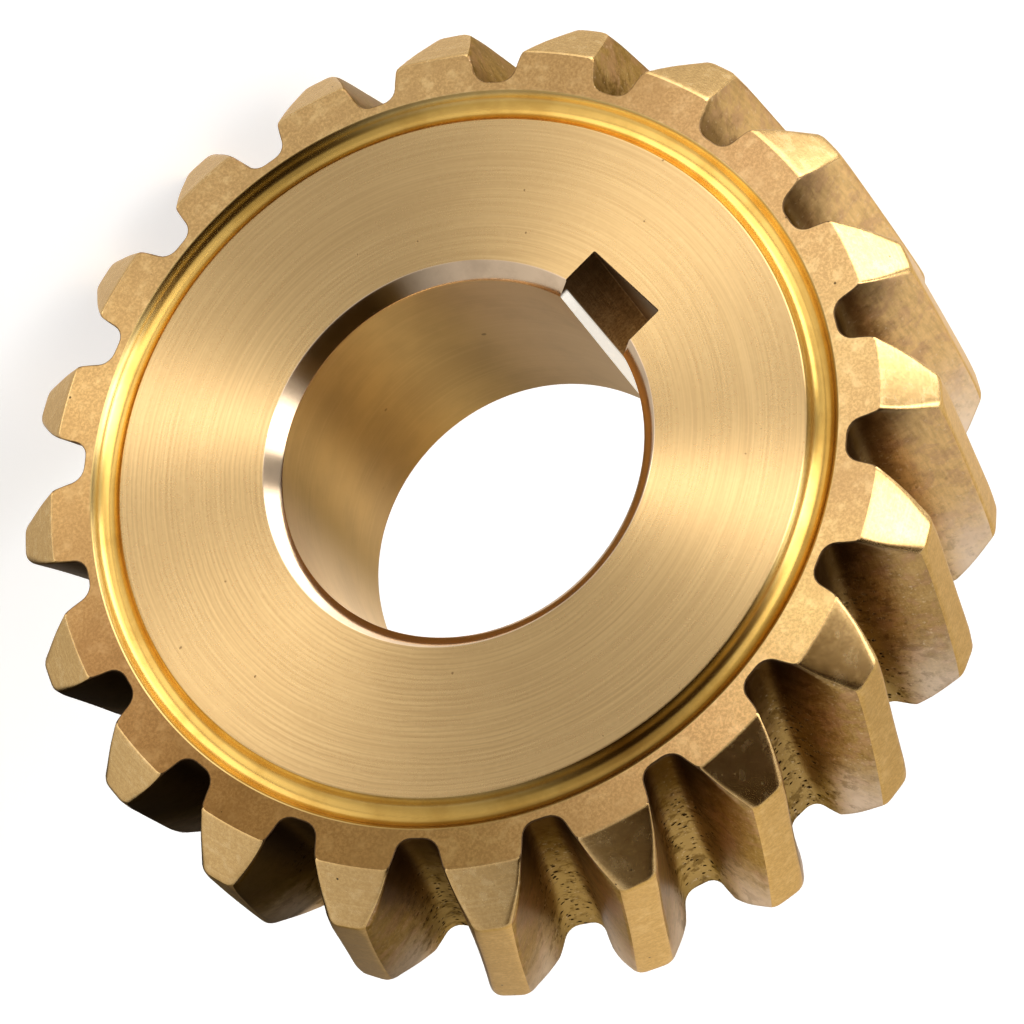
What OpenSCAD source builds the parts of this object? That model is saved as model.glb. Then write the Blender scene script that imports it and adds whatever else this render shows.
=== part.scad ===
// Worm wheel: one-piece bronze wheel with a keyed bore and slanted, round-bottomed tooth spaces.
// The wheel stands up and turns about +Y. The front face looks to -Y, and the origin is
// the centre of the bore at half the face width.

/* [Wheel body] */
// Diameter over the tops of the teeth
tip_d = 64.7; // [62.5:0.1:67]
// Width from the front face to the rear face
face_w = 21.3; // [18:0.1:24]
// Diameter at which the flat faces end and the corner bevels start
bevel_start_d = 58.2; // [56.5:0.1:60]
// Length of each corner bevel along the axis
bevel_len = 3.2; // [1.5:0.1:4.5]

/* [Bore and keyway] */
// Bore diameter for the shaft
bore_d = 25.4; // [19:0.1:28]
// Size of the 45 degree chamfer at both ends of the bore
bore_chamfer = 1.0; // [0.4:0.1:1.5]
// Width of the keyway
key_w = 6.5; // [4:0.1:7]
// Distance from the bore axis to the floor of the keyway
key_floor = 15.95; // [15.5:0.05:17]
// Direction of the keyway, anticlockwise from +X seen from the front
key_angle = 177.5; // [0:0.5:360]

/* [Ring grooves] */
// Mean diameter of the ring groove on each face
groove_d = 50.2; // [46:0.1:50.6]
// Width of the ring groove where it meets the face
groove_w = 2.1; // [1:0.1:2.4]
// Depth of the ring groove
groove_depth = 0.85; // [0.3:0.05:1]

/* [Teeth] */
// Number of teeth
teeth = 20; // [16:1:22]
// Diameter at the bottom of the tooth spaces
root_d = 53.6; // [53.2:0.1:55]
// Lead angle of the tooth spaces (right-hand)
lead_angle = 10.8; // [4:0.1:14]
// Width of the flat strip along the bottom of a tooth space
root_flat = 0.8; // [0.3:0.1:1.2]
// Fillet radius on both sides of that strip
root_fillet = 1.1; // [0.6:0.1:1.3]
// Slope of the flank where it leaves the fillet
flank_angle = 16; // [12:0.5:20]
// How fast the flank leans back towards the tip, per mm
flank_curve = 0.04; // [0:0.005:0.05]

/* [Hidden] */
$fn = 96;

tip_r = tip_d / 2;
root_r = root_d / 2;
bore_r = bore_d / 2;
bevel_start_r = bevel_start_d / 2;
half_w = face_w / 2;

// How far the bore and keyway cutters run past each face.
face_overrun = 1;
// How far the tooth cutter rises past the tip circle, and its whole length.
tip_overrun = 1.5;
cutter_len = 1.5 * face_w;

// The ring groove is an arc of a circle centred arc_up outside the face.
arc_r = (groove_w * groove_w / 4 + groove_depth * groove_depth) / (2 * groove_depth);
arc_up = arc_r - groove_depth;

// Height above the bottom of the space, and half width, where the fillet meets the flank.
fillet_h = root_fillet * (1 - sin(flank_angle));
fillet_x = root_flat / 2 + root_fillet * cos(flank_angle);
flank_h = tip_r - root_r + tip_overrun - fillet_h;
fillet_steps = 6;
flank_steps = 6;

// Outline points as [half width, height]: angle is swept round the fillet from the flat,
// and rise is measured up from the end of the fillet.
function fillet_point(angle) =
    [root_flat / 2 + root_fillet * sin(angle), root_fillet * (1 - cos(angle))];
function flank_point(rise) =
    [fillet_x + rise * tan(flank_angle) + flank_curve * rise * rise, fillet_h + rise];

// Right half of a tooth space from its bottom up, and its mirror image from the top down.
right_side = concat(
    [for (i = [0 : fillet_steps]) fillet_point(i / fillet_steps * (90 - flank_angle))],
    [for (i = [1 : flank_steps]) flank_point(flank_h * i / flank_steps)]);
left_side = [for (i = [len(right_side) - 1 : -1 : 0]) [-right_side[i][0], right_side[i][1]]];

// The modules below are drawn with the wheel's axis along Z and the front face at -Z.

// Turned blank: flat faces, corner bevels and the outside cylinder.
module blank() {
    rotate_extrude()
        polygon([
            [0, -half_w],
            [bevel_start_r, -half_w],
            [tip_r, -half_w + bevel_len],
            [tip_r, half_w - bevel_len],
            [bevel_start_r, half_w],
            [0, half_w]]);
}

// Bore with a chamfer at each end.
module bore() {
    end_z = half_w + face_overrun;
    end_r = bore_r + bore_chamfer + face_overrun;
    rotate_extrude()
        polygon([
            [0, -end_z],
            [end_r, -end_z],
            [bore_r, -half_w + bore_chamfer],
            [bore_r, half_w - bore_chamfer],
            [end_r, end_z],
            [0, end_z]]);
}

// Straight keyway through the whole width, starting inside the bore.
module keyway() {
    start_x = bore_r / 2;
    rotate([0, 0, -key_angle])
        translate([start_x, -key_w / 2, -half_w - face_overrun])
            cube([key_floor - start_x, key_w, face_w + 2 * face_overrun]);
}

// Round-bottomed ring groove in one face: side is -1 for the front, 1 for the rear.
module ring_groove(side) {
    rotate_extrude()
        translate([groove_d / 2, side * (half_w + arc_up)]) circle(r = arc_r);
}

// One straight tooth space at +X, opening outwards and tilted to the lead angle.
module tooth_space() {
    translate([root_r, 0, 0])
        rotate([-lead_angle, 0, 0])
            rotate([0, 0, -90])
                translate([0, 0, -cutter_len / 2])
                    linear_extrude(height = cutter_len)
                        polygon(concat(right_side, left_side));
}

// The finished wheel, turned so that its axis lies along Y.
module worm_wheel() {
    color("darkgoldenrod")
        rotate([-90, 0, 0])
            difference() {
                blank();
                bore();
                keyway();
                ring_groove(-1);
                ring_groove(1);
                // The first space is at the bottom of the standing wheel.
                for (i = [0 : teeth - 1])
                    rotate([0, 0, 90 + i * 360 / teeth]) tooth_space();
            }
}

worm_wheel();
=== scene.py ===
"""A bronze worm wheel with 20 slanted teeth, a ring groove in each face and a keyed bore.

The wheel's axis runs along Y through the origin, with the front face towards -Y.
Sizes are in mm. The shape is worked out in the disc frame: x to +X, y to -Z and
z, the depth, from the front face towards +Y. Looks and lighting use the face frame:
x right and y down as the camera sees the front face, z away into the wheel.
"""
import math
from functools import cached_property

import bmesh
import bpy
import numpy as np
from mathutils import Matrix, Vector


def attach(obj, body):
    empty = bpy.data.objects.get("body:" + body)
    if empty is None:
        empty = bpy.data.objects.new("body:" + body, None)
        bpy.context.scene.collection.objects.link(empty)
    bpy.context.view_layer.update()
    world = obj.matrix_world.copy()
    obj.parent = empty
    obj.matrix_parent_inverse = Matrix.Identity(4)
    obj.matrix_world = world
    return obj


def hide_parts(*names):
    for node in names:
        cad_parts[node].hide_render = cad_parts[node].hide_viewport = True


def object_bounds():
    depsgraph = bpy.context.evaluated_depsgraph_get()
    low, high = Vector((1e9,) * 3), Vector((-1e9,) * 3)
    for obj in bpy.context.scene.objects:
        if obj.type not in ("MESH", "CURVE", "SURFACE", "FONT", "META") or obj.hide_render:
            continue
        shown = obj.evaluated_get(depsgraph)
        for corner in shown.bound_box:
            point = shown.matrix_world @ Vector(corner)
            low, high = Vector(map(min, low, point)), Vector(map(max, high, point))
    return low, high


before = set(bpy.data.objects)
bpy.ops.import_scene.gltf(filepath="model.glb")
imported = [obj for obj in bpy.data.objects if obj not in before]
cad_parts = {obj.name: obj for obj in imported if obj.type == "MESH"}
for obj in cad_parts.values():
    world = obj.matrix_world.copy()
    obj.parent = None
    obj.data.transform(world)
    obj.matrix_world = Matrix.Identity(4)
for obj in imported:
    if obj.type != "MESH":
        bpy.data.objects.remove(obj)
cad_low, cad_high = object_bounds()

MM = 0.001
WIDTH = 21.3                        # front face to rear face
TEETH = 20
TIP_R, ROOT_R = 32.35, 26.8
BEVEL_R = 29.1                      # where the corner bevels start on the faces
FRONT_BEVEL, REAR_BEVEL = 3.25, 3.1         # how deep the bevels reach
LAND_FRONT, LAND_REAR = 3.2, WIDTH - 3.05   # depths between which tooth tops count as land
TIP_BLEND = 0.07                    # softens the corner between bevel and outside
ROOT_RAISE, ROOT_WAIST = 0.05, 0.42         # root radius at the faces, and its dip mid-width
HELIX, HELIX_TIP = 0.375, 0.05      # slant in degrees per mm of depth, and more at the tip

BORE_R = 12.7
CHAMFER = 1.0
BORE_START = 1.35                   # depth of the last ring on the bore wall at each face
HUB_RINGS = (16.9, 20.5)            # plain rings between the chamfer and the groove
GROOVE_R, GROOVE_HALF, GROOVE_DEEP = 25.1, 1.05, 0.85
GROOVE_SLOPE = math.radians(58)
GROOVE_STEPS = 14
BREAK = 0.03                        # small broken edge on the faces

KEY_W, KEY_FLOOR, KEY_ANGLE = 6.5, 15.95, 177.5
KEY_START = 8.0                     # the cutter's inner end, inside the bore
KEY_CORNER = 0.12
KEY_BREAK = 0.07                    # broken edge where the keyway meets the faces
KEY_OVERSHOOT = 1.0

ROOT_FLAT, ROOT_FILLET = 0.8, 1.1
FLANK_ANGLE, FLANK_CURVE = math.radians(16), 0.04
FILLET_H = ROOT_FILLET * (1 - math.sin(FLANK_ANGLE))
FILLET_X = ROOT_FLAT / 2 + ROOT_FILLET * math.cos(FLANK_ANGLE)
FILLET_N, FLANK_N, CORNER_N, LAND_N = 5, 8, 6, 4    # columns in each part of half a space

# Rounded rim of the end faces: depth from the face, and how much the outline shrinks.
RIM_ROUND = [(0.0, 0.10), (0.03, 0.03), (0.10, 0.0)]
# Depths of the toothed rings, from the front face, then from the rear face.
FRONT_STATIONS = [0.35, 0.8, 1.3, 1.8, 2.3, 2.75, 3.05, 3.2, 3.35, 3.6]
MIDDLE_STATIONS = np.linspace(4.2, WIDTH - 4.1, 16)
REAR_STATIONS = [3.5, 3.2, 3.05, 2.9, 2.6, 2.1, 1.6, 1.1, 0.6, 0.3]
BORE_STATIONS = np.linspace(WIDTH - BORE_START, BORE_START, 6)[1:-1]

SLOTS = ["hub_face", "groove", "rim_face", "bevel", "flank", "land", "chamfer", "bore",
         "keyway"]

FACE_TURN = math.radians(-133.7)    # the face frame's turn within the disc frame


def to_world(points):
    """Disc frame in mm to the world in metres."""
    x, y, z = np.moveaxis(np.asarray(points, float), -1, 0)
    return np.stack([x, z - WIDTH / 2, -y], -1) * MM


def face_dir(x, y, z):
    """A direction in the face frame, as a unit direction in the world."""
    cosine, sine = math.cos(FACE_TURN), math.sin(FACE_TURN)
    return tuple(Vector((cosine * x - sine * y, z, -(sine * x + cosine * y))).normalized())


def add_object(name, data):
    made = bpy.data.objects.new(name, data)
    bpy.context.scene.collection.objects.link(made)
    return made


def recalc_normals(mesh):
    work = bmesh.new()
    work.from_mesh(mesh)
    bmesh.ops.recalc_face_normals(work, faces=work.faces)
    work.to_mesh(mesh)
    work.free()


# ------------------------------------------------------------------ the wheel's outline

def flank_x(height):
    """Half width of a tooth space at a height above its root."""
    rise = height - FILLET_H
    return FILLET_X + rise * math.tan(FLANK_ANGLE) + FLANK_CURVE * rise * rise


def outside_r(depth):
    """Radius of the bevels and the outside cylinder, with softened corners."""
    front = BEVEL_R + depth * (TIP_R - BEVEL_R) / FRONT_BEVEL
    rear = BEVEL_R + (WIDTH - depth) * (TIP_R - BEVEL_R) / REAR_BEVEL
    over = min(front, rear) - TIP_R
    return TIP_R + 0.5 * (over - math.sqrt(over * over + TIP_BLEND * TIP_BLEND))


def tip_softness(depth):
    """Size of the rounding on the tooth corners, larger where the bevels end."""
    front = math.exp(-((depth - 3.1) / 1.3) ** 2)
    rear = math.exp(-((WIDTH - depth - 3.0) / 1.3) ** 2)
    return 0.34 + 0.40 * (front + rear)


def half_space(depth, shrink):
    """One side of a tooth space, from its centre to the middle of the tooth.

    Gives (radius, angle from the space's centre). shrink widens the space and
    lowers the outside.
    """
    offset = (depth - WIDTH / 2) / (WIDTH / 2)
    root = ROOT_R + ROOT_RAISE - ROOT_WAIST * (1 - offset * offset)
    top = outside_r(depth) - shrink
    grow = shrink / math.cos(FLANK_ANGLE)
    soft = tip_softness(depth)

    # Flat, fillet and flank, as (half width, height above the root).
    profile = [(0.0, -shrink), (ROOT_FLAT / 2, -shrink)]
    fillet = ROOT_FILLET + shrink
    for i in range(1, FILLET_N + 1):
        angle = i / FILLET_N * (math.pi / 2 - FLANK_ANGLE)
        profile.append((ROOT_FLAT / 2 + fillet * math.sin(angle),
                        ROOT_FILLET - fillet * math.cos(angle)))
    last = top - root
    for _ in range(8):              # settles on where the flank meets the outside
        x = flank_x(last) + grow
        last = math.sqrt(top * top - x * x) - root
    first = FILLET_H - shrink * math.sin(FLANK_ANGLE)
    for i in range(1, FLANK_N + 1):
        height = first + (last - soft - first) * i / FLANK_N
        profile.append((flank_x(height) + grow, height))
    polar = [(math.hypot(root + height, x), math.atan2(x, root + height))
             for x, height in profile]

    # The tooth corner is a quadratic curve from the flank to the land.
    corner = np.array([flank_x(last) + grow, root + last])
    flank_end = np.array([profile[-1][0], root + profile[-1][1]])
    land_angle = math.atan2(corner[0], corner[1]) + soft / top
    land_start = np.array([top * math.sin(land_angle), top * math.cos(land_angle)])
    for i in range(1, CORNER_N + 1):
        t = i / CORNER_N
        x, y = (1 - t) ** 2 * flank_end + 2 * t * (1 - t) * corner + t * t * land_start
        polar.append((math.hypot(x, y), math.atan2(x, y)))
    for i in range(1, LAND_N + 1):
        polar.append((top, land_angle + (math.pi / TEETH - land_angle) * i / LAND_N))
    return polar


def outline(depth, shrink):
    """Radii and angles of all columns of the toothed outline."""
    right = half_space(depth, shrink)
    left = [(radius, -angle) for radius, angle in right[:0:-1]]
    pitch = left[1:] + right
    radii, angles = [], []
    for i in range(TEETH):
        centre = math.radians(90 + 360 / TEETH * i)
        for radius, angle in pitch:
            height = max(0.0, min(1.0, (radius - ROOT_R) / (TIP_R - ROOT_R)))
            slant = math.radians(HELIX + HELIX_TIP * height)
            radii.append(radius)
            angles.append(centre + angle + slant * (depth - WIDTH / 2))
    return np.array(radii), np.array(angles)


def column_kinds():
    """What the strip that starts at each column of one pitch belongs to."""
    centre = FILLET_N + FLANK_N + CORNER_N + LAND_N
    flank_columns = 1 + FILLET_N + FLANK_N + CORNER_N // 2
    return ["flank" if min(abs(j - centre), abs(j + 1 - centre)) < flank_columns else "land"
            for j in range(2 * centre + 2)]


# ------------------------------------------------------------------ the wheel's mesh

def ring(radii, angles, depth):
    return np.stack([radii * np.cos(angles), radii * np.sin(angles),
                     np.full_like(angles, depth)], -1)


def face_profile():
    """Rings of an end face from bore wall to rim: radius, depth, kind of the next strip."""
    slope = math.tan(GROOVE_SLOPE)
    arc_r = (GROOVE_HALF * slope - GROOVE_DEEP) / (1 / math.cos(GROOVE_SLOPE) - 1)
    chamfer_r = BORE_R + CHAMFER
    rings = [(BORE_R, BORE_START, "bore"), (BORE_R, CHAMFER + 0.04, "chamfer"),
             (BORE_R + BREAK, CHAMFER - BREAK, "chamfer"),
             (chamfer_r - BREAK, BREAK, "chamfer"), (chamfer_r + 0.05, 0.0, "hub_face")]
    rings += [(radius, 0.0, "hub_face") for radius in HUB_RINGS]
    rings.append((GROOVE_R - GROOVE_HALF - 0.07, 0.0, "hub_face"))
    wall = [(GROOVE_HALF - 0.01, BREAK), (GROOVE_HALF - 0.04, 0.04 * slope)]
    rings += [(GROOVE_R - x, depth, "groove") for x, depth in wall]
    for i in range(GROOVE_STEPS + 1):
        angle = -GROOVE_SLOPE + 2 * GROOVE_SLOPE * i / GROOVE_STEPS
        rings.append((GROOVE_R + arc_r * math.sin(angle),
                      GROOVE_DEEP - arc_r * (1 - math.cos(angle)), "groove"))
    rings += [(GROOVE_R + x, depth, "groove") for x, depth in wall[::-1]]
    rings.append((GROOVE_R + GROOVE_HALF + 0.07, 0.0, "rim_face"))
    return rings


def face_rows(angles, rear):
    """Rows of the front face from bore to rim, or of the rear face from rim to bore."""
    rings = face_profile()
    if rear:
        rings = rings[::-1]
        names = [name for _, _, name in rings]
        rings = [(radius, WIDTH - depth, name)
                 for (radius, depth, _), name in zip(rings, names[1:] + names[-1:])]
    return [(ring(radius, angles, depth), name) for radius, depth, name in rings]


def tooth_rows():
    """Rows of the toothed rim from front to rear."""
    stations = RIM_ROUND + [(depth, 0.0) for depth in FRONT_STATIONS]
    stations += [(depth, 0.0) for depth in MIDDLE_STATIONS]
    stations += [(WIDTH - depth, 0.0) for depth in REAR_STATIONS]
    stations += [(WIDTH - depth, shrink) for depth, shrink in RIM_ROUND[::-1]]
    rows = [(ring(*outline(depth, shrink), depth), "tooth") for depth, shrink in stations]
    rows[-1] = (rows[-1][0], "rim_face")
    return rows


def bore_rows(front_angles, rear_angles):
    """Rows of the bore wall from rear to front."""
    rows = []
    for depth in BORE_STATIONS:
        t = (depth - BORE_START) / (WIDTH - 2 * BORE_START)
        rows.append((ring(BORE_R, front_angles * (1 - t) + rear_angles * t, depth), "bore"))
    return rows


def build_wheel():
    """The wheel before the keyway is cut: rows of rings joined into a closed loop."""
    front_angles, rear_angles = outline(0.0, 0.0)[1], outline(WIDTH, 0.0)[1]
    rows = face_rows(front_angles, rear=False) + tooth_rows()
    rows += face_rows(rear_angles, rear=True) + bore_rows(front_angles, rear_angles)
    columns, pitch_kinds = len(front_angles), column_kinds()
    faces, face_slots = [], []
    for i, (points, row_kind) in enumerate(rows):
        k = (i + 1) % len(rows)
        depth = (points[0, 2] + rows[k][0][0, 2]) / 2
        for j in range(columns):
            jj = (j + 1) % columns
            faces.append((i * columns + j, k * columns + j, k * columns + jj,
                          i * columns + jj))
            kind = row_kind
            if kind == "tooth":
                kind = pitch_kinds[j % len(pitch_kinds)]
                if kind == "land" and not LAND_FRONT <= depth <= LAND_REAR:
                    kind = "bevel"
            face_slots.append(SLOTS.index(kind))

    mesh = bpy.data.meshes.new("worm_wheel_bronze")
    points = to_world(np.concatenate([points for points, _ in rows]))
    mesh.from_pydata([tuple(point) for point in points], [], faces)
    mesh.polygons.foreach_set("material_index", np.array(face_slots, np.int32))
    mesh.update()
    recalc_normals(mesh)
    return add_object("worm_wheel_bronze", mesh)


def key_section(grow):
    """The cutter's section: (along the key's direction, across it)."""
    end, half = KEY_FLOOR + grow, KEY_W / 2 + grow
    side = [(KEY_START, half), (end - KEY_CORNER, half),
            (end - KEY_CORNER * 0.3, half - KEY_CORNER * 0.3), (end, half - KEY_CORNER)]
    return [(x, -y) for x, y in side] + side[::-1]


def build_key_cutter(material):
    angle = math.radians(-KEY_ANGLE)
    cosine, sine = math.cos(angle), math.sin(angle)
    flare = KEY_BREAK + KEY_OVERSHOOT
    rows = [(-KEY_OVERSHOOT, flare), (KEY_BREAK, 0.0), (WIDTH - KEY_BREAK, 0.0),
            (WIDTH + KEY_OVERSHOOT, flare)]     # depth, growth of the section
    points = [(cosine * x - sine * y, sine * x + cosine * y, depth)
              for depth, grow in rows for x, y in key_section(grow)]
    count = len(key_section(0.0))
    faces = [tuple(range(count))[::-1], tuple(range(3 * count, 4 * count))]
    for i in range(3):
        for j in range(count):
            jj = (j + 1) % count
            faces.append((i * count + j, i * count + jj, (i + 1) * count + jj,
                          (i + 1) * count + j))
    mesh = bpy.data.meshes.new("keyway_cut")
    mesh.from_pydata([tuple(point) for point in to_world(points)], [], faces)
    mesh.materials.append(material)
    recalc_normals(mesh)
    return add_object("keyway_cut", mesh)


def cut_keyway(wheel, cutter):
    """Bakes the cut into the wheel's mesh and removes the cutter."""
    cut = wheel.modifiers.new("keyway", "BOOLEAN")
    cut.operation, cut.object, cut.solver = "DIFFERENCE", cutter, "EXACT"
    cut.material_mode = "TRANSFER"
    bpy.context.view_layer.update()
    depsgraph = bpy.context.evaluated_depsgraph_get()
    cut_mesh = bpy.data.meshes.new_from_object(wheel.evaluated_get(depsgraph),
                                               depsgraph=depsgraph)
    wheel.modifiers.clear()
    wheel.data = cut_mesh
    bpy.data.objects.remove(cutter)


def shade_wheel(wheel):
    """Smooth shading, with the flat faces kept plain right up to their edges."""
    mesh = wheel.data
    mesh.shade_smooth()
    mesh.set_sharp_from_angle(angle=math.radians(32))
    work = bmesh.new()
    work.from_mesh(mesh)
    for edge in work.edges:
        if len(edge.link_faces) == 2:
            flat = [abs(face.normal.y) > 0.99995 for face in edge.link_faces]
            if flat[0] != flat[1]:
                edge.smooth = False
    work.to_mesh(mesh)
    work.free()
    weighted = wheel.modifiers.new("weighted", "WEIGHTED_NORMAL")
    weighted.keep_sharp = True
    weighted.weight = 90


# ------------------------------------------------------------------ node helpers

class Field:
    """A node's output. Arithmetic and methods on it add nodes to its graph."""

    def __init__(self, graph, socket):
        self.graph, self.socket = graph, socket
        self.is_number = socket.type == "VALUE"

    def math(self, operation, *others):
        return self.graph.math(operation, self, *others)

    def vector(self, operation, *others):
        return self.graph.vector(operation, self, *others)

    def __add__(self, other):
        return (self.math if self.is_number else self.vector)("ADD", other)

    def __radd__(self, other):
        return self.graph.math("ADD", other, self)

    def __sub__(self, other):
        return self.math("SUBTRACT", other)

    def __rsub__(self, other):
        return self.graph.math("SUBTRACT", other, self)

    def __mul__(self, other):
        if self.is_number:
            return self.math("MULTIPLY", other)
        node = self.graph.add("ShaderNodeVectorMath", operation="SCALE")
        self.graph.put(node.inputs[0], self)
        self.graph.put(node.inputs["Scale"], other)
        return Field(self.graph, node.outputs[0])

    def dot(self, direction):
        return self.vector("DOT_PRODUCT", direction)

    def ease(self, low, high, start=0.0, end=1.0):
        """Goes smoothly from start to end as the value goes from low to high."""
        node = self.graph.add("ShaderNodeMapRange", interpolation_type="SMOOTHSTEP")
        self.graph.put(node.inputs["Value"], self)
        for name, value in (("From Min", low), ("From Max", high),
                            ("To Min", start), ("To Max", end)):
            node.inputs[name].default_value = value
        return Field(self.graph, node.outputs[0])

    def fade(self, low, high, end=0.0):
        return self.ease(low, high, start=1.0, end=end)

    def noise(self, scale, detail=3.0, rough=0.5, distortion=0.0):
        node = self.graph.add("ShaderNodeTexNoise")
        self.graph.put(node.inputs["Vector"], self)
        for name, value in (("Scale", scale), ("Detail", detail), ("Roughness", rough),
                            ("Distortion", distortion)):
            node.inputs[name].default_value = value
        return Field(self.graph, node.outputs["Fac"])

    def pits(self, scale, size, share):
        """1 inside small round pits, scattered over a share of the cells."""
        cells = self.graph.add("ShaderNodeTexVoronoi")
        self.graph.put(cells.inputs["Vector"], self)
        cells.inputs["Scale"].default_value = scale
        inside = Field(self.graph, cells.outputs["Distance"]).fade(size * 0.55, size)
        pick = self.graph.add("ShaderNodeSeparateColor")
        self.graph.put(pick.inputs[0], Field(self.graph, cells.outputs["Color"]))
        return inside * Field(self.graph, pick.outputs[0]).math("LESS_THAN", share)

    def azimuth(self):
        """Turn of a point round the face, 0 to 1 clockwise from the face frame's right."""
        return azimuth_of(self.dot(face_dir(1, 0, 0)), self.dot(face_dir(0, 1, 0)))

    def ring_ramp(self, stops, top=6.0):
        """Looks an azimuth up in a table of stops, whose values may be up to top."""
        stops = [(stop[0], *(stop[1:] * (3 if len(stop) == 2 else 1))) for stop in stops]
        first, last = stops[0], stops[-1]
        t = (360 - last[0]) / (360 - last[0] + first[0])
        seam = [b + (a - b) * t for a, b in zip(first[1:], last[1:])]
        if first[0] > 0:
            stops.insert(0, (0, *seam))
        stops.append((360, *seam))
        node = self.graph.add("ShaderNodeValToRGB")
        node.color_ramp.interpolation = "LINEAR"
        elements = node.color_ramp.elements
        while len(elements) > 1:
            elements.remove(elements[-1])
        elements[0].position = 0.0
        for i, (degrees, *rgb) in enumerate(stops):
            element = elements.new(degrees / 360) if i else elements[0]
            element.color = (*[value / top for value in rgb], 1)
        self.graph.put(node.inputs[0], self)
        return Field(self.graph, node.outputs[0]) * top


def azimuth_of(right, down):
    return (down.math("ARCTAN2", right) * (0.5 / math.pi) + 1.0).math("FRACT")


class Graph:
    """Builds a node tree from empty."""

    def __init__(self, tree):
        self.tree = tree
        self.x = 0
        tree.nodes.clear()

    def add(self, kind, **settings):
        node = self.tree.nodes.new(kind)
        self.x += 180
        node.location = (self.x, 0)
        for name, value in settings.items():
            setattr(node, name, value)
        return node

    def put(self, socket, value):
        if isinstance(value, Field):
            self.tree.links.new(value.socket, socket)
        else:
            socket.default_value = value

    def build(self, kind, operands, output=0, **settings):
        node = self.add(kind, **settings)
        for socket, value in zip(node.inputs, operands):
            self.put(socket, value)
        return Field(self, node.outputs[output])

    def source(self, kind, output):
        return self.build(kind, (), output)

    def math(self, operation, *operands):
        return self.build("ShaderNodeMath", operands, operation=operation)

    def vector(self, operation, *operands):
        output = "Value" if operation in ("DOT_PRODUCT", "LENGTH") else 0
        return self.build("ShaderNodeVectorMath", operands, output, operation=operation)

    def combine(self, x, y, z):
        return self.build("ShaderNodeCombineXYZ", (x, y, z))

    def mix(self, factor, first, second, blend="MIX"):
        node = self.add("ShaderNodeMix", data_type="RGBA", blend_type=blend,
                        clamp_factor=True, clamp_result=False)
        self.put(node.inputs[0], factor)
        for i, colour in ((6, first), (7, second)):
            self.put(node.inputs[i], colour if isinstance(colour, Field) else (*colour, 1))
        return Field(self, node.outputs[2])


def new_material(name):
    material = bpy.data.materials.new(name)
    material.use_nodes = True
    return material


class Surface(Graph):
    """A bronze material. Its coordinates x, y, z, point and radius are in mm."""

    def __init__(self, name):
        self.material = new_material(name)
        super().__init__(self.material.node_tree)
        output = self.add("ShaderNodeOutputMaterial")
        self.bsdf = self.add("ShaderNodeBsdfPrincipled")
        self.tree.links.new(self.bsdf.outputs[0], output.inputs[0])
        # The tint keeps bronze golden at a low angle.
        self.set(Metallic=1.0, Specular_Tint=(0.94, 0.83, 0.68, 1))
        split = self.add("ShaderNodeSeparateXYZ")
        self.put(split.inputs[0], self.source("ShaderNodeTexCoord", "Object"))
        self.x_mm, self.y_mm, self.z_mm = [Field(self, axis) * 1000.0
                                           for axis in split.outputs]
        self.point = self.combine(self.x_mm, self.y_mm, self.z_mm)
        self.colour = self.height = None

    @cached_property
    def radius(self):
        return (self.x_mm * self.x_mm + self.z_mm * self.z_mm).math("SQRT")

    @cached_property
    def radial(self):
        return self.combine(self.x_mm, 0.0, self.z_mm).vector("NORMALIZE")

    def side(self, degrees):
        """1 at this azimuth round the face, -1 opposite."""
        angle = math.radians(degrees)
        return self.radial.dot(face_dir(math.cos(angle), math.sin(angle), 0))

    def lines_along(self, across, along):
        """Noise drawn out into lines along the wheel's axis."""
        stretched = self.combine(self.x_mm * across, self.y_mm * along, self.z_mm * across)
        return stretched.noise(scale=0.8, detail=3.0, rough=0.6)

    def set(self, **inputs):
        """Sets shader inputs; an underscore stands for a space."""
        for name, value in inputs.items():
            self.put(self.bsdf.inputs[name.replace("_", " ")], value)

    def tint(self, colour, where, share=None):
        if share is not None:
            where = where * share
        self.colour = self.mix(where, self.colour, colour)

    def multiply(self, colour):
        self.colour = self.mix(1.0, self.colour, colour, "MULTIPLY")

    def finish(self, roughness, bump):
        """bump is the depth of the relief in metres."""
        node = self.add("ShaderNodeBump")
        self.put(node.inputs["Height"], self.height)
        self.put(node.inputs["Distance"], bump)
        self.put(node.inputs["Strength"], 1.0)
        self.set(Base_Color=self.colour, Roughness=roughness,
                 Normal=Field(self, node.outputs[0]))
        return self.material


# ------------------------------------------------------------------ materials
# In all of them, offsets added to the point keep one pattern apart from another, and
# the factors in a height or a roughness are the weights of its parts.

# Ring tables: (azimuth in degrees, grey) or (azimuth, red, green, blue).
# Painted light and shade on the rim by azimuth round the face: brighter in some sectors, darker
# and browner in others.
RIM_LIGHT_AND_SHADE = [
    (15, 0.95, 0.90, 0.80), (32, 1.35, 1.35, 1.10), (50, 1.20, 1.10, 0.95),
    (85, 0.50, 0.44, 0.30), (120, 0.36, 0.28, 0.17), (150, 0.60, 0.49, 0.37),
    (190, 1.10, 1.04, 0.85), (215, 0.88, 0.84, 0.72), (260, 0.94, 0.91, 0.79),
    (285, 0.70, 0.64, 0.52), (320, 0.90, 0.82, 0.74), (355, 1.15, 1.14, 1.00)]
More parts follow.
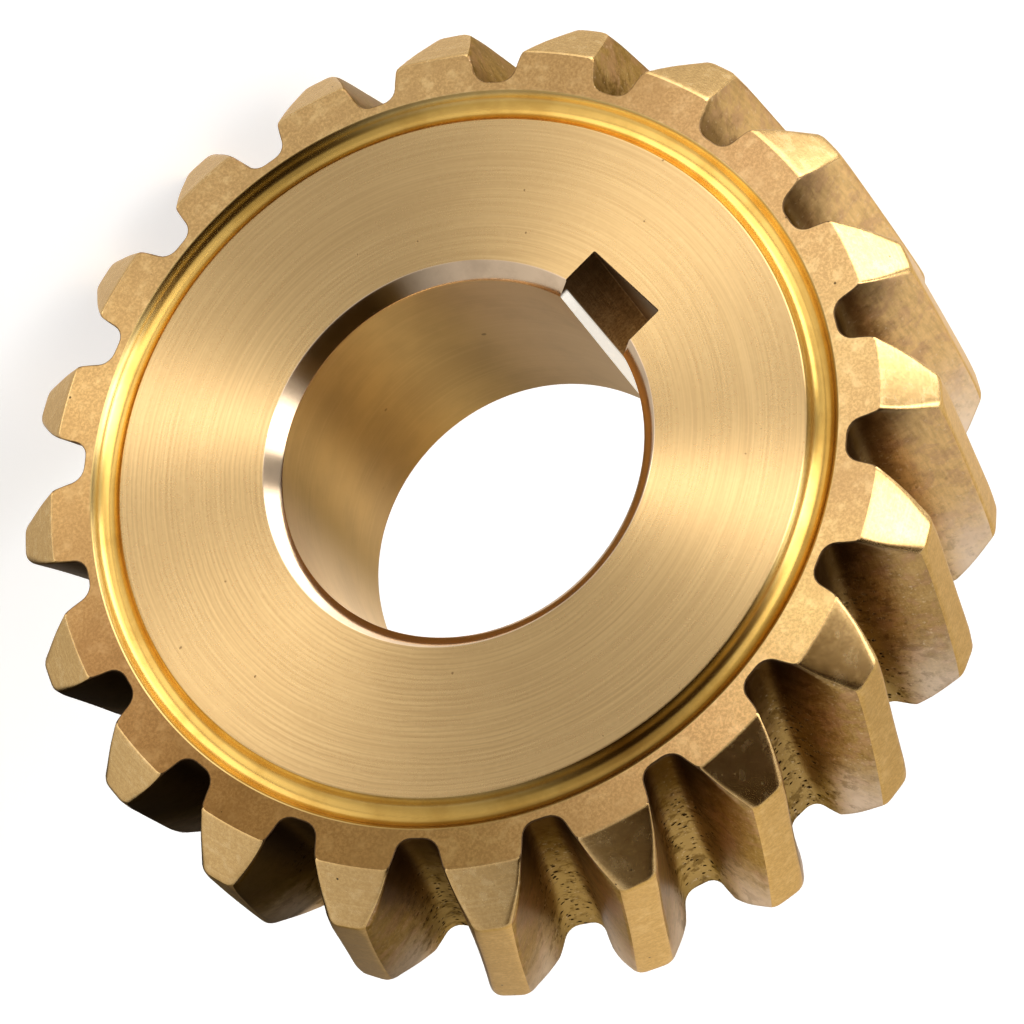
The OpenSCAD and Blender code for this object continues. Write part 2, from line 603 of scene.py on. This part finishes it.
# Painted light and shade on the two walls of the ring groove, by azimuth.
INNER_WALL_LIGHT = [
    (0, 0.62), (15, 1.0), (30, 1.1), (45, 0.7), (60, 0.32, 0.26, 0.2), (75, 0.6),
    (90, 0.74), (120, 0.95), (150, 0.88), (180, 0.66), (195, 0.78), (210, 0.74),
    (240, 0.72), (270, 0.9), (300, 1.1), (330, 1.2)]
OUTER_WALL_LIGHT = [
    (0, 0.55, 0.50, 0.42), (30, 0.38, 0.31, 0.18), (45, 0.52, 0.48, 0.40),
    (60, 0.47, 0.45, 0.45), (90, 0.55, 0.54, 0.52), (120, 0.82), (150, 1.1), (180, 1.0),
    (210, 1.15), (240, 0.5), (270, 0.95), (300, 1.1), (330, 0.92)]


def turned():
    """The hub face, with concentric tool marks."""
    base, dark, light = (0.66, 0.44, 0.195), (0.56, 0.36, 0.155), (0.76, 0.53, 0.26)
    feed_brown, pit_brown = (0.44, 0.275, 0.115), (0.16, 0.09, 0.035)
    feed_pitch = 0.36
    look = Surface("bronze_turned")
    point, radius, radial = look.point, look.radius, look.radial
    # Radius is stretched far more than azimuth, so the noise draws rings.
    across = look.combine(radius * 1.0, 0.0, 0.0)
    rings = radial * 2.2 * 1.0 + look.combine(radius, radius * 0.7, 0.0) * 6.0
    fine = rings.noise(scale=1.1, detail=2.0, rough=0.6)
    lathe = across.noise(scale=3.4, detail=2.0, rough=0.7)
    broad = (radial * 1.3 + across * 0.35).noise(scale=1.4, detail=3.0, rough=0.55)
    cloud = point.noise(scale=0.16, detail=4.0, rough=0.55)
    grain = point.noise(scale=2.6, detail=4.0, rough=0.65)
    # Feed marks wander a little, and are stronger on one side and in patches.
    wobble = (point * 0.22).noise(scale=1.0, detail=3.0, rough=0.6)
    feed = (radius * (2 * math.pi / feed_pitch) + wobble * 9.0).math("SINE")
    side = look.side(degrees=140).ease(low=-0.4, high=0.7, start=0.25)
    patches = point.noise(scale=0.13, detail=2.0).ease(low=0.38, high=0.58, start=0.25)
    feed = feed * (side * patches)

    look.colour = look.mix(fine.ease(low=0.30, high=0.72), dark, base)
    look.tint(light, where=lathe.ease(low=0.45, high=0.75), share=0.25)
    look.tint(feed_brown, where=feed.ease(low=-0.2, high=1.0), share=0.42)
    look.tint(dark, where=cloud.ease(low=0.42, high=0.68), share=0.30)
    look.tint(light, where=grain.ease(low=0.5, high=0.75), share=0.18)
    jitter = look.combine(grain, point.noise(scale=3.1, detail=2.0), cloud)
    ragged = point + jitter * 0.35
    small = ragged.pits(scale=0.55, size=0.055, share=0.35)
    sparse = (ragged + (5.3, 2.2, 8.9)).pits(scale=0.25, size=0.035, share=0.5)
    pit = small.math("MAXIMUM", sparse)
    look.tint(pit_brown, where=pit, share=0.75)
    look.set(Anisotropic=0.97, Tangent=radial)
    look.height = fine * 1.0 + grain * 0.35 - pit * 2.0
    return look.finish(roughness=0.21 + (broad + grain) * 0.07, bump=0.0000025)


def groove_light_and_tones(look):
    """Painted light and shade by azimuth on the front groove's walls, its yellower bottom, and
    painted shade on its dark lips.
    """
    white, cool, yellow = (1.0, 1.0, 1.0), (1.0, 1.07, 1.18), (0.94, 0.82, 0.56)
    lip_shade_brown = (0.26, 0.14, 0.035)
    lip_out, lip_in = 0.03, 0.17    # the lips' fade, measured in from the groove's edges
    radius = look.radius
    turn = look.point.azimuth()
    # Painted light and shade: the walls' brightness by azimuth round the face.
    painted_wall_light = look.mix(radius.ease(low=GROOVE_R - 0.25, high=GROOVE_R + 0.25),
                    turn.ring_ramp(INNER_WALL_LIGHT, top=1.25),
                    turn.ring_ramp(OUTER_WALL_LIGHT, top=1.25))
    painted_wall_light = look.mix(1.0, look.colour, painted_wall_light, "MULTIPLY")
    look.tint(painted_wall_light, where=look.y_mm.fade(low=8.0, high=9.0), share=1.0)
    off = (radius - GROOVE_R).math("ABSOLUTE")
    walls = look.mix(off.ease(low=0.74, high=0.92), white, cool)
    look.multiply(look.mix(off.fade(low=0.50, high=0.78), walls, yellow))
    inner, outer = GROOVE_R - GROOVE_HALF, GROOVE_R + GROOVE_HALF
    # Painted shade: dark lips along both edges of the groove.
    lip = radius.fade(low=inner + lip_out, high=inner + lip_in).math(
        "MAXIMUM", radius.ease(low=outer - lip_in, high=outer - lip_out))
    look.tint(lip_shade_brown, where=lip, share=0.6)


def polished(name, base, dark, rough, light_and_tones=None):
    """The brighter, smoother turned surfaces."""
    look = Surface(name)
    rings = look.radial * 3.0 + look.combine(look.radius, look.y_mm, 0.0) * 7.0
    fine = rings.noise(scale=1.0, detail=2.0, rough=0.6)
    cloud = look.point.noise(scale=0.35, detail=4.0, rough=0.6)
    look.colour = look.mix(cloud.ease(low=0.4, high=0.7), base, dark)
    if light_and_tones:
        light_and_tones(look)
    look.set(Anisotropic=0.35, Tangent=look.radial)
    look.height = fine + cloud * 0.6
    return look.finish(roughness=rough + cloud * 0.08, bump=0.000003)


class SandySurface(Surface):
    """A surface with a sandy grain, stains and pits."""

    def __init__(self, name, base, dark, light, pit_share):
        super().__init__(name)
        pit_black = (0.035, 0.02, 0.012)
        sand = self.point.noise(scale=4.5, detail=4.0, rough=0.7)
        self.mid = self.point.noise(scale=1.1, detail=4.0, rough=0.6)
        self.stain = self.point.noise(scale=0.28, detail=4.0, rough=0.6, distortion=0.4)
        self.colour = self.mix(sand.ease(low=0.38, high=0.66), dark, base)
        self.tint(light, where=self.mid.ease(low=0.48, high=0.72), share=0.55)
        self.tint(dark, where=self.stain.ease(low=0.45, high=0.7), share=0.45)
        self.pit = self.point.pits(scale=1.5, size=0.17, share=pit_share)
        self.tint(pit_black, where=self.pit, share=0.85)
        self.height = sand * 0.5 + self.mid

    def finish(self, roughness, bump):
        self.height = self.height - self.pit * 1.5
        return super().finish(roughness + self.mid * 0.14, bump)


def rim():
    """The face outside the groove, with light and shade painted round it by azimuth."""
    look = SandySurface("bronze_rim", base=(0.66, 0.43, 0.20), dark=(0.48, 0.30, 0.135),
                        light=(0.80, 0.57, 0.30), pit_share=0.03)
    ragged = look.point + look.combine(look.mid, 0.0, look.stain) * 3.0
    # Painted light and shade: the rim's brightness by azimuth.
    look.multiply(ragged.azimuth().ring_ramp(RIM_LIGHT_AND_SHADE, top=1.5))
    look.set(Anisotropic=0.6, Tangent=look.radial)
    return look.finish(roughness=0.29, bump=0.000004)


def banded(name, base, dark, light, pit_share, rough, bump):
    """Tooth tops and bevels, with tool lines round the wheel."""
    look = SandySurface(name, base, dark, light, pit_share)
    rings = look.combine(look.radius * 6.0, look.y_mm * 6.0, 0.0)
    line = (look.radial * 4.0 + rings).noise(scale=0.9, detail=2.0, rough=0.6)
    look.height = look.height + line * 0.9
    look.tint(light, where=line.ease(low=0.5, high=0.7), share=0.25)
    return look.finish(rough, bump)


def keyway():
    """The keyway's walls: lines along it, with painted shade to the front and a painted
    highlight that glows along the front lip.
    """
    dark, shadow, glint_colour = (0.20, 0.11, 0.05), (0.035, 0.016, 0.007), (0.95, 0.92, 0.84)
    mid_plane, lip_taper = 0.0, -0.012      # the lip's limit shifts with y
    look = SandySurface("bronze_keyway", base=(0.48, 0.31, 0.165), dark=dark,
                        light=(0.66, 0.47, 0.28), pit_share=0.05)
    line = look.lines_along(across=5.0, along=0.35)
    look.height = look.height + line * 1.6
    look.tint(dark, where=line.ease(low=0.45, high=0.68), share=0.6)
    look.tint(shadow, where=(look.y_mm + line * 5.0).ease(low=-8.0, high=5.0,
                                                          start=0.85, end=0.0))
    edge = look.radius + (look.y_mm - mid_plane) * lip_taper
    # Painted highlight: a pale strip along the front lip that glows.
    pale = edge.fade(low=13.35, high=13.50) * look.y_mm.ease(low=-9.9, high=-9.3)
    look.tint(glint_colour, where=pale)
    look.set(Metallic=1.0 - pale, Emission_Color=(1.0, 0.98, 0.91, 1),
             Emission_Strength=pale * 0.62)
    return look.finish(roughness=0.33, bump=0.000014)


def hobbed():
    """Flanks and bottoms of the tooth spaces, with cutter lines, painted shade, painted
    highlights and pits.
    """
    base, dark = (0.49, 0.305, 0.110), (0.36, 0.215, 0.076)
    line_brown, light, lit_gold = (0.28, 0.16, 0.055), (0.62, 0.42, 0.19), (0.88, 0.56, 0.235)
    russet, root_shade, floor_sheen_gold = (0.52, 0.285, 0.165), (0.17, 0.10, 0.04), (0.52, 0.34, 0.12)
    rear_highlight_pale, stain_brown = (0.90, 0.71, 0.53), (0.10, 0.052, 0.020)
    fleck_pale, mouth_shade_black = (0.86, 0.66, 0.42), (0.042, 0.022, 0.012)
    pit_black = (0.02, 0.010, 0.004)
    look = Surface("bronze_flank")
    look.set(Specular_Tint=(0.50, 0.42, 0.33, 1))   # keeps the bottoms dark at a low angle
    point, radius, y = look.point, look.radius, look.y_mm
    sand = point.noise(scale=4.0, detail=4.0, rough=0.7)
    mid = point.noise(scale=0.9, detail=4.0, rough=0.6, distortion=0.3)
    line = look.lines_along(across=4.5, along=0.30)
    look.colour = look.mix(sand.ease(low=0.36, high=0.66), dark, base)
    look.tint(line_brown, where=line.ease(low=0.45, high=0.68), share=0.45)
    look.tint(light, where=mid.ease(low=0.50, high=0.75), share=0.40)

    # Painted light: brighter on the right, a little above the middle.
    lit_right = look.side(degrees=-22).ease(low=0.70, high=0.93)
    lit_right = lit_right * (line + sand * 0.5).ease(low=0.45, high=1.0, start=0.95, end=0.55)
    look.tint(lit_gold, where=lit_right)
    patches = (point + (5.7, 1.3, 8.8)).noise(scale=0.55, detail=5.0, rough=0.7,
                                              distortion=0.4)
    look.tint(russet, where=patches.ease(low=0.46, high=0.60), share=0.45)

    # Painted shade low in the spaces; a yellower tone and painted highlight on their floors, and
    # painted highlights on the flanks towards the rear.
    low = (radius + mid * 1.6).fade(low=28.2, high=30.4)
    look.tint(root_shade, where=low, share=0.70)
    floor = radius.fade(low=27.0, high=28.6) * (y + mid * 5.0).ease(low=-3.0, high=5.0)
    look.tint(floor_sheen_gold, where=floor, share=0.75)
    rear_highlight = (y + mid * 4.0).ease(low=2.0, high=12.0) * radius.ease(low=28.2, high=30.6)
    look.tint(rear_highlight_pale, where=rear_highlight, share=0.8)

    blotch = point.noise(scale=0.8, detail=5.0, rough=0.72, distortion=0.3)
    stain = blotch.ease(low=0.50, high=0.62) * radius.ease(low=28.0, high=31.5,
                                                           start=0.65, end=0.20)
    look.tint(stain_brown, where=stain * (1.0 - lit_right * 0.75))
    fleck = (point + (9.1, 4.3, 2.7)).noise(scale=3.0, detail=3.0, rough=0.7)
    look.tint(fleck_pale, where=fleck.ease(low=0.60, high=0.70), share=0.45)

    # Painted shade: dark front mouths, except at the upper left, and darkest at the lower left.
    below = look.side(degrees=60).ease(low=-0.7, high=0.1)
    deep = y + (mid * 4.0 + (radius - 27.0) * 0.9)
    shade_lower_left = look.side(degrees=138).ease(low=0.72, high=0.93)
    deep = deep - shade_lower_left * 11.0
    reach = radius.fade(low=29.5, high=32.0, end=0.25).math("MAXIMUM", shade_lower_left)
    mouth_shade = deep.fade(low=-7.5, high=1.5) * reach * below
    look.tint(mouth_shade_black, where=mouth_shade, share=0.84)

    # Pits, mostly low in the spaces and towards the rear.
    jitter = point + look.combine(sand, mid, line) * 0.5
    small = jitter.pits(scale=2.3, size=0.36, share=0.40)
    large = (jitter + (3.1, 7.7, 1.9)).pits(scale=1.3, size=0.27, share=0.35)
    pit = small.math("MAXIMUM", large)
    pit = pit * (radius.fade(low=27.4, high=29.6, end=0.10)
                 * (y + mid * 6.0).ease(low=-4.0, high=4.0, start=0.10))
    look.tint(pit_black, where=pit, share=0.97)
    look.height = sand * 0.4 + (mid + line * 1.2) - pit * 3.0
    return look.finish(roughness=0.27 + (mid * 0.12 + (low * 0.08 + pit * 0.3)),
                       bump=0.000011)


def bored():
    """The smooth bore wall, with faint feed rings."""
    base, dark, light = (0.62, 0.43, 0.22), (0.52, 0.36, 0.19), (0.70, 0.50, 0.27)
    spot_brown = (0.12, 0.07, 0.04)
    look = Surface("bronze_bore")
    stretched = look.radial * 1.2 + look.combine(0.0, look.y_mm * 3.5, 0.0)
    look.height = stretched.noise(scale=1.0, detail=3.0, rough=0.6)
    cloud = look.point.noise(scale=0.14, detail=4.0, rough=0.55)
    look.colour = look.mix(cloud.ease(low=0.4, high=0.65), base, dark)
    look.tint(light, where=look.height.ease(low=0.45, high=0.7), share=0.25)
    look.tint(spot_brown, where=look.point.pits(scale=0.5, size=0.11, share=0.3), share=0.6)
    look.set(Anisotropic=0.5, Tangent=look.combine(0.0, 1.0, 0.0))
    return look.finish(roughness=0.30 + cloud * 0.12, bump=0.000005)


def build_finishes():
    """The materials, in the order of SLOTS."""
    return [
        turned(),
        polished("bronze_groove", base=(0.82, 0.58, 0.215), dark=(0.70, 0.47, 0.155),
                 rough=0.18, light_and_tones=groove_light_and_tones),
        rim(),
        banded("bronze_bevel", base=(0.70, 0.455, 0.185), dark=(0.58, 0.36, 0.14),
               light=(0.80, 0.56, 0.27), pit_share=0.02, rough=0.19, bump=0.000002),
        hobbed(),
        banded("bronze_land", base=(0.68, 0.41, 0.125), dark=(0.54, 0.31, 0.085),
               light=(0.80, 0.53, 0.21), pit_share=0.03, rough=0.25, bump=0.000004),
        polished("bronze_chamfer", base=(0.73, 0.54, 0.36), dark=(0.60, 0.44, 0.29),
                 rough=0.09),
        bored(),
        keyway(),
    ]


# ------------------------------------------------------------------ floor and card

# Brightness of the card by azimuth round the face, in degrees.
CARD = [
    (0, 0.95), (12, 0.85), (30, 0.75), (48, 0.9), (66, 1.05), (84, 0.95), (98, 0.6),
    (112, 0.30), (130, 0.05), (162, 0.03), (176, 0.2), (190, 0.6), (210, 0.9), (300, 1.0),
    (318, 1.1), (336, 1.15)]
CARD_HOLE_R, CARD_R, CARD_GAP, CARD_SEGMENTS = 26.6, 400, 0.4, 64


def build_floor():
    """A pale floor under the wheel that only the camera sees."""
    bpy.ops.mesh.primitive_plane_add(size=6.0, location=(0, 0, cad_low[2]))
    floor = bpy.context.object
    floor.name = "studio_floor"
    material = new_material("pale_floor")
    inputs = material.node_tree.nodes["Principled BSDF"].inputs
    for name, value in (("Base Color", (0.52, 0.52, 0.52, 1)), ("Roughness", 1.0),
                        ("Specular IOR Level", 0.0), ("Emission Color", (1, 1, 1, 1)),
                        ("Emission Strength", 0.72)):
        inputs[name].default_value = value
    floor.data.materials.append(material)
    floor.visible_diffuse = floor.visible_glossy = False
    floor.visible_transmission = floor.visible_shadow = False
    return floor


def card_material():
    """A glow that varies round the card, and is plain far out and for very short rays."""
    material = new_material("card_white")
    graph = Graph(material.node_tree)
    output = graph.add("ShaderNodeOutputMaterial")
    glow = graph.add("ShaderNodeEmission")
    graph.tree.links.new(glow.outputs[0], output.inputs[0])
    place = graph.source("ShaderNodeTexCoord", "Object")
    far = place.vector("LENGTH").ease(low=58 * MM, high=95 * MM)
    ray_length = graph.source("ShaderNodeLightPath", "Ray Length")
    near = ray_length.ease(low=1.5 * MM, high=3.0 * MM)
    far_grey, near_grey = (0.78, 0.78, 0.76), (0.8, 0.8, 0.8)
    colour = graph.mix(far, place.azimuth().ring_ramp(CARD), far_grey)
    graph.put(glow.inputs["Color"], graph.mix(near, near_grey, colour))
    return material


def build_card():
    """A card just behind the wheel, seen only in reflections, with a hole in its middle."""
    points, faces = [], []
    for i in range(CARD_SEGMENTS):
        angle = 2 * math.pi * i / CARD_SEGMENTS
        for radius in (CARD_HOLE_R * MM, CARD_R * MM):
            points.append((radius * math.cos(angle), (WIDTH / 2 + CARD_GAP) * MM,
                           radius * math.sin(angle)))
        k = (i + 1) % CARD_SEGMENTS
        faces.append((2 * i, 2 * i + 1, 2 * k + 1, 2 * k))
    mesh = bpy.data.meshes.new("white_card")
    mesh.from_pydata(points, [], faces)
    card = add_object("white_card", mesh)
    mesh.materials.append(card_material())
    card.visible_camera = card.visible_diffuse = False
    card.visible_shadow = card.visible_transmission = False
    return card


# ------------------------------------------------------------------ world and camera
# The world is laid out by which way a surface must face to mirror it to the camera: the
# azimuth of its normal round the face and its tilt from the face's own normal.

VIEW = (0.3036, 0.3524, -0.8852)    # from the wheel to the camera, in the face frame
# What the faces mirror when they lean a little.
FACES = [
    (0, 0.9), (5, 1.8), (12, 6.0), (19, 2.3), (28, 1.05), (45, 0.74), (60, 0.70),
    (90, 0.66), (105, 0.84), (120, 1.3), (138, 1.9), (155, 1.55), (168, 1.0), (176, 1.0),
    (186, 1.7), (193, 3.8), (200, 1.7), (212, 0.95), (225, 0.70), (255, 0.64), (270, 0.88),
    (285, 1.45), (300, 2.5), (318, 2.4), (335, 1.6), (348, 0.8)]
# What slopes near 45 degrees mirror.
SLOPES = [
    (4, 0.4), (8, 4.5), (13, 6.0), (19, 3.6), (24, 0.8), (30, 0.14, 0.09, 0.035),
    (38, 0.045, 0.025, 0.006), (60, 0.03, 0.017, 0.004), (68, 0.09, 0.06, 0.02),
    (78, 0.42), (90, 0.66), (105, 0.72), (125, 0.92), (140, 0.92), (156, 0.72),
    (175, 0.66), (195, 0.56), (210, 0.66), (228, 0.84), (246, 0.95), (264, 1.03),
    (282, 1.2), (296, 1.8), (310, 2.5), (325, 4.0), (335, 4.8), (351, 4.6), (355, 0.5)]
# What the bore wall mirrors.
SIDES = [
    (0, 0.40, 0.33, 0.16), (15, 0.70, 0.55, 0.27), (30, 0.33, 0.22, 0.08),
    (45, 0.60, 0.44, 0.20), (60, 0.70, 0.60, 0.36), (75, 0.38, 0.33, 0.22),
    (90, 0.46, 0.42, 0.40), (105, 0.50, 0.49, 0.52), (150, 0.5), (200, 0.6), (260, 0.8),
    (315, 1.1), (330, 0.98, 1.0, 1.08), (345, 0.55, 0.53, 0.55)]
# What the rear side mirrors.
BEHIND = [
    (0, 0.70), (30, 1.05), (55, 2.1), (80, 1.0), (110, 0.62), (150, 0.60), (190, 0.85),
    (225, 1.9), (255, 0.9), (290, 0.62), (330, 0.60)]
# Tilts in degrees over which each table takes over from the one before.
TILT_BANDS = [(22.0, 32.0, SLOPES), (64.0, 80.0, SIDES), (100.0, 120.0, BEHIND)]
HEAD_ON, BACKDROP = (0.7, 0.7, 0.7), (0.99, 0.99, 0.99)


def build_world():
    world = bpy.data.worlds.new("studio")
    bpy.context.scene.world = world
    world.use_nodes = True
    world.cycles.sampling_method = "NONE"
    graph = Graph(world.node_tree)
    output = graph.add("ShaderNodeOutputWorld")
    background = graph.add("ShaderNodeBackground")
    graph.tree.links.new(background.outputs[0], output.inputs[0])

    half = graph.source("ShaderNodeTexCoord", "Generated") + face_dir(*VIEW)
    right, down = half.dot(face_dir(1, 0, 0)), half.dot(face_dir(0, 1, 0))
    out = half.dot(face_dir(0, 0, -1))
    across = (right * right + down * down).math("SQRT")
    tilt = across.math("ARCTAN2", out) * (180 / math.pi)
    azimuth = azimuth_of(right, down)
    colour = graph.mix(tilt.ease(low=1.5, high=5.0), HEAD_ON, azimuth.ring_ramp(FACES))
    for low, high, table in TILT_BANDS:
        colour = graph.mix(tilt.ease(low, high), colour, azimuth.ring_ramp(table))
    is_camera = graph.source("ShaderNodeLightPath", "Is Camera Ray")
    graph.put(background.inputs["Color"], graph.mix(is_camera, colour, BACKDROP))
    background.inputs["Strength"].default_value = 1.0


def build_camera():
    data = bpy.data.cameras.new("camera")
    data.sensor_width = 36.0
    data.lens = 193.359375
    data.clip_start, data.clip_end = 0.01, 20
    camera = add_object("camera", data)
    right = Vector((-0.6769868, 0.3137827, 0.6657547))
    up = Vector((-0.7346205, -0.3433460, -0.5851891))
    forward = Vector((-0.0449620, 0.8852423, -0.4629519))
    placing = Matrix((right, up, -forward)).transposed().to_4x4()
    placing.translation = Vector((16.8726, -331.0518, 173.7016)) * MM
    camera.matrix_world = placing
    bpy.context.scene.camera = camera


# ------------------------------------------------------------------ build

wheel = build_wheel()
finishes = build_finishes()
for material in finishes:
    wheel.data.materials.append(material)
cut_keyway(wheel, build_key_cutter(finishes[SLOTS.index("keyway")]))
shade_wheel(wheel)

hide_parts("worm_wheel")
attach(wheel, "root")

floor = build_floor()
card = build_card()
build_world()
build_camera()

view_settings = bpy.context.scene.view_settings
view_settings.view_transform = "Standard"
view_settings.look = "None"
view_settings.exposure = 0.0
view_settings.gamma = 1.0

bpy.context.view_layer.update()
